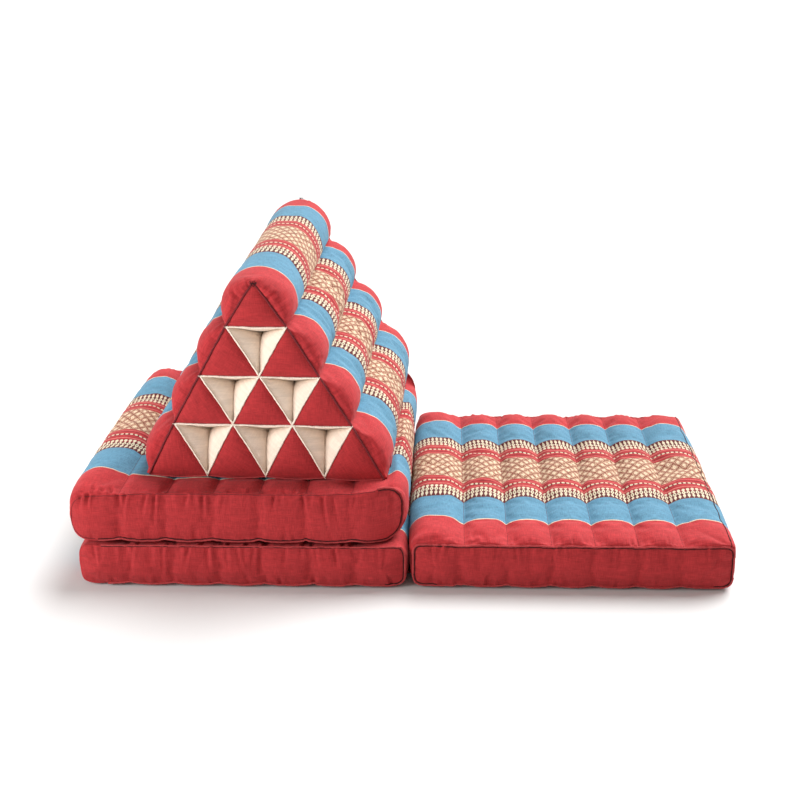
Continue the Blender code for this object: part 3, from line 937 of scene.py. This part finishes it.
def press_folds(piece, finish, folds):
    """Press narrow folds into a cover: each by its place on the cloth, turn, length, width and depth."""
    mesh = piece.data
    place = values_of(mesh.vertices, "co", 3)
    normal = values_of(mesh.vertices, "normal", 3)
    corner = values_of(mesh.loops, "vertex_index", kind=np.int32)
    finishes = values_of(mesh.polygons, "material_index", kind=np.int32)
    sides = values_of(mesh.polygons, "loop_total", kind=np.int32)
    wanted = np.repeat(finishes, sides) == finish
    cloth = np.full((len(place), 2), 99.0, np.float32)
    cloth[corner[wanted]] = values_of(mesh.uv_layers["cloth"].data, "uv", 2)[wanted]
    rise = np.zeros(len(place), np.float32)
    for u, v, turn, length, width, depth in folds:
        du, dv = cloth[:, 0] - u, cloth[:, 1] - v
        along = du * math.cos(turn) + dv * math.sin(turn)
        aside = dv * math.cos(turn) - du * math.sin(turn)
        fade = np.clip(along / 0.005, 0.0, 1.0) * np.clip(1.0 - along / length, 0.0, 1.0)
        trough = np.exp(-((aside / width) ** 2))
        ridge = np.exp(-((aside / width - 1.8) ** 2))
        rise += depth * fade * (0.6 * ridge - trough)
    place = place + normal * rise[:, None]
    mesh.vertices.foreach_set("co", place.ravel())
    mesh.update()


def gathers(chance, start, end, v, turn, gap, length, depth):
    """Folds at uneven distances along a seam, that run away from it."""
    folds = []
    u = start + chance.uniform(0.0, gap)
    while u < end:
        reach = length * chance.uniform(0.4, 1.3)
        lean = turn + chance.uniform(-0.25, 0.25)
        width = chance.uniform(0.0021, 0.0032)
        folds.append((u, v, lean, reach, width, depth * chance.choice((0.4, 0.6, 0.8, 1.0, 1.9))))
        u += gap * chance.uniform(0.4, 1.6)
    return folds


chance = random.Random(7)
for node, (piece, cover, rings, channels) in mat_parts.items():
    mat = MATS[node]
    fill_cover(piece, cover.sewn, mat["foot"], mat["highest"])
    refine(piece)
    half_width = mat["width"] / 2 - 0.02
    for v, turn in ((-MAT_DEPTH / 2, math.pi / 2), (MAT_DEPTH / 2, -math.pi / 2)):
        folds = gathers(chance, -half_width, half_width, v, turn, gap=0.017, length=0.024, depth=0.0019)
        for channel in range(1, TUBES):
            u = (channel - TUBES / 2) * mat["pitch"]
            folds += gathers(chance, u - 0.014, u + 0.014, v, turn, gap=0.008, length=0.028, depth=0.0022)
        press_folds(piece, 0, folds)
    for apart in (0.0, BACK_PANEL_APART):
        left, right = mat["left"] + apart + 0.02, mat["right"] + apart - 0.02
        top_seam, foot_seam = mat["seam"] + TOP_SEAM_LIFT, mat["foot"] + SEAM_INSET
        folds = gathers(chance, left, right, top_seam, -math.pi / 2, gap=0.021, length=0.045, depth=0.0026)
        folds += gathers(chance, left, right, foot_seam, math.pi / 2, gap=0.034, length=0.024, depth=0.0019)
        press_folds(piece, 1, folds)
    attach(piece, "root")
    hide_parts(node)
fill_cover(cushion_piece, cushion.sewn, low.z, high.z)
refine(cushion_piece)
for v, turn in ((-CUSHION_DEPTH / 2, math.pi / 2), (CUSHION_DEPTH / 2, -math.pi / 2)):
    folds = gathers(chance, 0.006, 0.06, v, turn, gap=0.0085, length=0.02, depth=0.003)
    folds += gathers(chance, -0.05, -0.006, v, turn, gap=0.0115, length=0.017, depth=0.0026)
    folds += gathers(chance, -0.4, 0.4, v, turn, gap=0.02, length=0.02, depth=0.0017)
    press_folds(cushion_piece, 0, folds)
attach(cushion_piece, "root")
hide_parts("triangle_cushion")


# Hinges: three narrow strips of the red cotton, one cloth thick, sewn between the edges of neighbouring
# pieces so that the set folds up. They lie loose between the two floor mats, at the left between the
# stacked mats, and along the triangle's right base edge.

STRIP_CLOTH = 0.001
STRIP_STEPS = 64
STRIP_WAVE = 0.0003
STRIP_LIFT = 0.0008
TRIANGLE_STRIP_GAP = 0.001
TRIANGLE_STRIP_FOOT = -0.0036
TRIANGLE_STRIP_TOP = 0.0078
TRIANGLE_STRIP_INSET = 0.045


def make_strip(name, profile, front, back, place):
    """A strip of cloth along y with this profile across, a little wavy, given its thickness by Solidify."""
    widths = np.cumsum([0.0, *[math.dist(a, b) for a, b in zip(profile, profile[1:])]])
    strip = Cover()
    for step in range(STRIP_STEPS + 1):
        y = front + (back - front) * step / STRIP_STEPS
        for x, z in profile:
            wave = noise.noise((x * 40.0, y * 22.0, z * 40.0))
            strip.points.append(place @ Vector((x, y, z + STRIP_WAVE * wave)))
    across = len(profile)
    for step in range(STRIP_STEPS):
        v0 = front + (back - front) * step / STRIP_STEPS
        v1 = front + (back - front) * (step + 1) / STRIP_STEPS
        for index in range(across - 1):
            corners = [step * across + index, step * across + index + 1]
            corners += [corners[1] + across, corners[0] + across]
            u0, u1 = widths[index], widths[index + 1]
            strip.add_face(corners, [(u0, v0), (u1, v0), (u1, v1), (u0, v1)], 0)
    piece = strip.make(name, [red_cotton])
    cloth = piece.modifiers.new("cloth", "SOLIDIFY")
    cloth.thickness = STRIP_CLOTH
    cloth.offset = 0.0
    make_plain(piece)
    return piece, (float(widths[-1]), back - front)


def bow(start, end, rise, steps=8):
    """Points of a shallow bow between two points, bulging to its left."""
    (x0, z0), (x1, z1) = start, end
    along_x, along_z = x1 - x0, z1 - z0
    length = math.dist(start, end)
    points = []
    for index in range(steps + 1):
        t = index / steps
        out = rise * math.sin(math.pi * t) / length
        points.append((x0 + along_x * t - along_z * out, z0 + along_z * t + along_x * out))
    return points


low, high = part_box("hinge_floor")
profile = bow((low.x, low.z + STRIP_LIFT), (high.x, low.z + STRIP_LIFT), rise=0.0006)
floor_strip = make_strip("cover_hinge_floor", profile, low.y, high.y, Matrix.Identity(4))
low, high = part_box("hinge_left")
profile = bow((high.x, low.z + STRIP_LIFT), (low.x, low.z + 1.5 * STRIP_LIFT), rise=-0.0005)
left_strip = make_strip("cover_hinge_left", profile, low.y, high.y, Matrix.Identity(4))
edge = ROWS * CELL_WIDTH / 2 + CORNER_SWELL + TRIANGLE_STRIP_GAP
profile = bow((edge, TRIANGLE_STRIP_FOOT), (edge, TRIANGLE_STRIP_TOP), rise=-0.0004)
back = CUSHION_DEPTH - TRIANGLE_STRIP_INSET
triangle_strip = make_strip("cover_hinge_triangle", profile, TRIANGLE_STRIP_INSET, back, cushion_place)
for (piece, flat), node, held, rests_on in (
    (floor_strip, "hinge_floor", "laid", ["cover_mat_lower", "cover_mat_outer"]),
    (left_strip, "hinge_left", "folded", ["cover_mat_lower", "cover_mat_upper"]),
    (triangle_strip, "hinge_triangle", "folded", ["cover_triangle", "cover_mat_upper"]),
):
    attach(piece, "root")
    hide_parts(node)


# Seams: the edges of each cover are rolled over each other and overcast by hand with dark thread, and each
# channel is sewn through with a running stitch. The rolls and the stitches follow the covers' finished
# surfaces. The dark cord on the panels just under the rolls, on the sides that SEAMS lists as dark, is partly
# seam thread and partly painted shade where the roll overhangs the panel.

FLOAT = "NodeSocketFloat"


def new_tree(name, sizes):
    """A tree with its named inputs, one of them the material, and its group nodes."""
    tree = bpy.data.node_groups.new(name, "GeometryNodeTree")
    tree.interface.new_socket("Geometry", in_out="INPUT", socket_type="NodeSocketGeometry")
    for size in sizes:
        tree.interface.new_socket(size, in_out="INPUT", socket_type=FLOAT)
    tree.interface.new_socket("Finish", in_out="INPUT", socket_type="NodeSocketMaterial")
    tree.interface.new_socket("Geometry", in_out="OUTPUT", socket_type="NodeSocketGeometry")
    return tree, tree.nodes.new("NodeGroupInput").outputs, tree.nodes.new("NodeGroupOutput").inputs


def finish_tree(tree, shape, given, result):
    """Realize what a tree has made, give it its material and pass it on."""
    shape = add_node(tree, "GeometryNodeRealizeInstances", {}, {"Geometry": shape})
    shape = add_node(tree, "GeometryNodeSetMaterial", {}, {"Geometry": shape, "Material": given["Finish"]})
    tree.links.new(shape, result["Geometry"])
    return tree


def roll_tree():
    """A cloth edge rolled to a cord, a little wavy and lumpy."""
    tree, given, result = new_tree("rolled_edge", ("Thickness", "Wander"))
    line = add_node(tree, "GeometryNodeMeshToCurve", {}, {"Mesh": given["Geometry"]})
    line = add_node(tree, "GeometryNodeResampleCurve", {"mode": "LENGTH"}, {"Curve": line, "Length": 0.0028})
    wiggle = add_node(tree, "ShaderNodeTexNoise", {}, {"Scale": 120.0, "Detail": 1.0}, out=1)
    centred = {0: wiggle, 1: (0.5, 0.5, 0.5)}
    wiggle = add_node(tree, "ShaderNodeVectorMath", {"operation": "SUBTRACT"}, centred)
    wiggled = {0: wiggle, "Scale": given["Wander"]}
    wiggle = add_node(tree, "ShaderNodeVectorMath", {"operation": "SCALE"}, wiggled)
    line = add_node(tree, "GeometryNodeSetPosition", {}, {"Geometry": line, "Offset": wiggle})
    lumps = add_node(tree, "ShaderNodeTexNoise", {}, {"Scale": 260.0})
    lumps = scaled(tree, lumps, 0.3, 0.7, 0.75, 1.25)
    radius = calc(tree, "MULTIPLY", lumps, given["Thickness"])
    radius = calc(tree, "MULTIPLY", radius, 0.5)
    profile = add_node(tree, "GeometryNodeCurvePrimitiveCircle", {}, {"Resolution": 7, "Radius": 1.0})
    skin = {"Curve": line, "Profile Curve": profile, "Fill Caps": True, "Scale": radius}
    return finish_tree(tree, add_node(tree, "GeometryNodeCurveToMesh", {}, skin), given, result)


def stitch_tree():
    """Stitches of thread at even distances along a line, each turned by the slant to the line."""
    tree, given, result = new_tree("stitches", ("Spacing", "Length", "Thickness", "Slant", "Unevenness"))
    line = add_node(tree, "GeometryNodeMeshToCurve", {}, {"Mesh": given["Geometry"]})
    spacing = {"Curve": line, "Length": given["Spacing"]}
    line = add_node(tree, "GeometryNodeResampleCurve", {"mode": "LENGTH"}, spacing)
    tangent = add_node(tree, "GeometryNodeInputTangent")
    lean = add_node(tree, "GeometryNodeInputNamedAttribute", {"data_type": "FLOAT_VECTOR"}, {"Name": "lean"})
    turned = add_node(tree, "FunctionNodeAlignRotationToVector", {"axis": "X"}, {"Vector": tangent})
    lying = {"Rotation": turned, "Vector": lean}
    turned = add_node(tree, "FunctionNodeAlignRotationToVector", {"axis": "Z", "pivot_axis": "X"}, lying)
    least = calc(tree, "SUBTRACT", given["Slant"], given["Unevenness"])
    most = calc(tree, "ADD", given["Slant"], given["Unevenness"])
    drawn = {2: least, 3: most, 8: 3}
    slant = add_node(tree, "FunctionNodeRandomValue", {"data_type": "FLOAT"}, drawn, out=1)
    slant = add_node(tree, "ShaderNodeCombineXYZ", {}, {"Z": slant})
    slant = add_node(tree, "FunctionNodeEulerToRotation", {}, {"Euler": slant})
    slanted = {"Rotation": turned, "Rotate By": slant}
    turned = add_node(tree, "FunctionNodeRotateRotation", {"rotation_space": "LOCAL"}, slanted)
    half_length = calc(tree, "MULTIPLY", given["Length"], 0.5)
    half_thick = calc(tree, "MULTIPLY", given["Thickness"], 0.5)
    size = add_node(tree, "ShaderNodeCombineXYZ", {}, {"X": half_length, "Y": half_thick, "Z": half_thick})
    stitch = add_node(tree, "GeometryNodeMeshUVSphere", {}, {"Segments": 6, "Rings": 4, "Radius": 1.0})
    spots = {"Points": line, "Instance": stitch, "Rotation": turned, "Scale": size}
    return finish_tree(tree, add_node(tree, "GeometryNodeInstanceOnPoints", {}, spots), given, result)


def thread_finish(name, hex_code):
    """Spun cotton thread or the raw edge of rolled cloth: matt, with a fine uneven twist."""
    material, tree, shader = new_material(name)
    place = add_node(tree, "ShaderNodeTexCoord", out=3)
    twist = add_node(tree, "ShaderNodeTexNoise", {}, {"Vector": place, "Scale": 900.0, "Detail": 2.0})
    shade = scaled(tree, twist, 0.3, 0.7, 0.72, 1.25)
    colour = shaded(tree, linear(hex_code), shade)
    cloth_shader(tree, shader, colour, twist, bump=0.6, distance=0.0003)
    return material


def line_on(piece, numbers, lift=0.0):
    """A line over a cover's points, lifted off it: places, each with the direction off the surface."""
    line = []
    for number in numbers:
        vertex = piece.data.vertices[number]
        line.append((vertex.co + vertex.normal * lift, vertex.normal.copy()))
    return line


def sew(name, slot, tree, lines, material, **sizes):
    """Run a tree along lines and keep what it makes as a plain mesh on the body. The slot is not used."""
    guide = bpy.data.meshes.new(name)
    edges = []
    first = 0
    for line in lines:
        edges += [(first + index, first + index + 1) for index in range(len(line) - 1)]
        first += len(line)
    guide.from_pydata([place for line in lines for place, lean in line], edges, [])
    leans = guide.attributes.new("lean", "FLOAT_VECTOR", "POINT")
    leans.data.foreach_set("vector", np.array([lean for line in lines for place, lean in line]).ravel())
    piece = put(name, guide)
    sewing = piece.modifiers.new("sewing", "NODES")
    sewing.node_group = tree
    wanted = {"Finish": material, **{size.capitalize(): value for size, value in sizes.items()}}
    for socket in tree.interface.items_tree:
        if socket.in_out == "INPUT" and socket.name in wanted:
            sewing[socket.identifier] = wanted[socket.name]
    make_plain(piece)
    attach(piece, "root")


rolled_edge = roll_tree()
stitches = stitch_tree()
red_edge = thread_finish("rolled_red_cotton_edge", "#A83A3C")
dark_edge = thread_finish("overcast_dark_red_edge", "#6B2025")
dark_thread = thread_finish("dark_spun_thread", "#33090F")
red_thread = thread_finish("red_spun_thread", "#651A1F")
pale_thread = thread_finish("pale_spun_thread", "#B98479")
cream_edge = thread_finish("rolled_cream_cotton_edge", "#EADCCD")

SEAMS = {
    "mat_outer": {"roll": ("left", "top", "right", "foot"), "dark": ("left", "top", "right"), "fine": ()},
    "mat_lower": {"roll": ("top", "right", "foot"), "dark": ("top", "right"), "fine": ()},
    "mat_upper": {"roll": ("right", "foot"), "dark": ("right", "foot"), "fine": ("left", "top")},
}
seam_lines = {"roll": [], "dark": [], "fine": []}
stitched_channels = []
kinds = [kind for kind, across, angle in mat_columns()]
for node, (piece, cover, rings, channels) in mat_parts.items():
    count = len(rings[0])
    last = (len(rings) - 1) * count
    order = [(kinds.index("left") + step) % count for step in range(count + 1)]
    for first, panel in ((0, last + count), (last, last + count * (1 + len(PANEL_RINGS)))):
        rim = line_on(piece, [first + index for index in order], lift=0.0006)
        inner = line_on(piece, [panel + index for index in order], lift=0.0004)
        # line of the dark cord just inside the rim: partly seam thread, partly painted shade under the roll
        under = [(a[0].lerp(b[0], 0.62), b[1]) for a, b in zip(rim, inner)]
        for seam, shown in SEAMS[node].items():
            line = (rim if seam == "roll" else under)[: count + ("foot" in shown)]
            seam_lines[seam].append([spot for spot, index in zip(line, order) if kinds[index] in shown])
    for column in channels:
        if kinds[column] == "top":
            stitched_channels.append(line_on(piece, range(column, last + 1, count), lift=0.0002))
piece, cover, rings, channels = mat_parts["mat_outer"]
count = len(rings[0])
side_seam = min(
    (index for index, (kind, across, angle) in enumerate(mat_columns()) if kind == "right"),
    key=lambda index: abs(mat_columns()[index][2] - math.radians(60)),
)
seam_lines["dark"].append(line_on(piece, range(side_seam, len(rings) * count, count), lift=0.0002))
rims = [line for line in seam_lines["roll"] if line]
sew("rolled_edges_mats", "red_cotton", rolled_edge, rims, red_edge, thickness=0.0031, wander=0.0018)
# dark cords under the rolls (partly seam thread, partly painted shade) and the line along mat_outer's right
# side
sew("seam_lines_and_roll_shade_mats", "seam_thread", rolled_edge, seam_lines["dark"], dark_thread,
    thickness=0.0015, wander=0.0014)
fine_lines = [line for line in seam_lines["fine"] if line]
sew("fine_seams_mat_upper", "seam_thread", rolled_edge, fine_lines, dark_edge,
    thickness=0.0009, wander=0.0012)
sew("overcast_thread_mats", "seam_thread", stitches, rims, dark_thread,
    spacing=0.0058, length=0.0042, thickness=0.0007, slant=0.5, unevenness=0.35)
sew("channel_thread_mats", "seam_thread", stitches, stitched_channels, red_thread,
    spacing=0.0046, length=0.0036, thickness=0.0008, slant=0.0, unevenness=0.12)


# Triangle seams: the slopes' seams at both ends are dark overcast ridges that end in a tangle of thread
# at the apex. The base seams show light and dark stitches in turn.

APEX_TANGLE = 7
TANGLE_REACH = 0.006

slopes = []
bases = []
tangle = []
count = len(columns)
base_half = ROWS // 2 * CELL_COLUMNS
for first in (0, (len(depths) - 1) * count):
    slope_range = range(first + base_half, first + count - base_half + 1)
    slopes.append(line_on(cushion_piece, slope_range, lift=0.001))
    around = [*range(count - base_half, count), *range(base_half + 1)]
    bases.append(line_on(cushion_piece, [first + index for index in around], lift=0.0006))
    apex = slopes[-1][len(slopes[-1]) // 2]
    for strand in range(APEX_TANGLE):
        strand_line = []
        for step in range(4):
            off = Vector([chance.uniform(-1.0, 1.0) for axis in range(3)]) * TANGLE_REACH
            off.y *= 0.3
            strand_line.append((apex[0] + off + apex[1] * 0.0012, apex[1]))
        tangle.append(strand_line)
sew("rolled_edges_slopes", "red_cotton", rolled_edge, slopes, dark_edge, thickness=0.0031, wander=0.0018)
sew("rolled_edges_base", "red_cotton", rolled_edge, bases, red_edge, thickness=0.0022, wander=0.0014)
sew("apex_thread", "seam_thread", rolled_edge, tangle, dark_thread, thickness=0.0008, wander=0.002)
sew("overcast_thread_slopes", "seam_thread", stitches, slopes, dark_thread,
    spacing=0.0032, length=0.0048, thickness=0.001, slant=0.95, unevenness=0.3)
sew("overcast_thread_base", "seam_thread", stitches, bases, pale_thread,
    spacing=0.0052, length=0.0034, thickness=0.001, slant=0.35, unevenness=0.3)


# Pocket hems: the cream lining comes out over the mouth of each pocket as a narrow rolled hem, whipped
# down on the red triangles with small stitches. Cream loops tie the corners where triangles meet.

HEM_INSIDE = 0.0014
HEM_FORWARD = 0.0006
LOOP_REACH = 0.0042

hems = []
whipped = []
loops = []
for numbers, deep in mouths:
    edge = line_on(cushion_piece, numbers)
    deep_place = cushion_piece.data.vertices[deep].co
    centre = Vector((deep_place.x, edge[0][0].y, deep_place.z))
    out = Vector((0.0, -1.0 if deep_place.y > edge[0][0].y else 1.0, 0.0))
    forward = out * HEM_FORWARD
    hems.append([(place + (centre - place).normalized() * HEM_INSIDE + forward, out) for place, lean in edge])
    whipped.append([(place + out * 0.0012, out) for place, lean in edge[1:-1]])
    start = edge[0][0] + out * 0.002
    inside = (edge[len(edge) // 2][0] - edge[0][0]).normalized()
    loops.append([(start - inside * LOOP_REACH * 0.4, out), (start, out), (start + inside * LOOP_REACH, out)])
sew("rolled_hems_pockets", "cream_cotton", rolled_edge, hems, cream_edge, thickness=0.0029, wander=0.0012)
sew("tie_loops_pockets", "cream_cotton", rolled_edge, loops, cream_edge, thickness=0.0011, wander=0.002)
sew("whip_thread_pockets", "seam_thread", stitches, whipped, red_thread,
    spacing=0.0036, length=0.0026, thickness=0.0007, slant=1.2, unevenness=0.35)
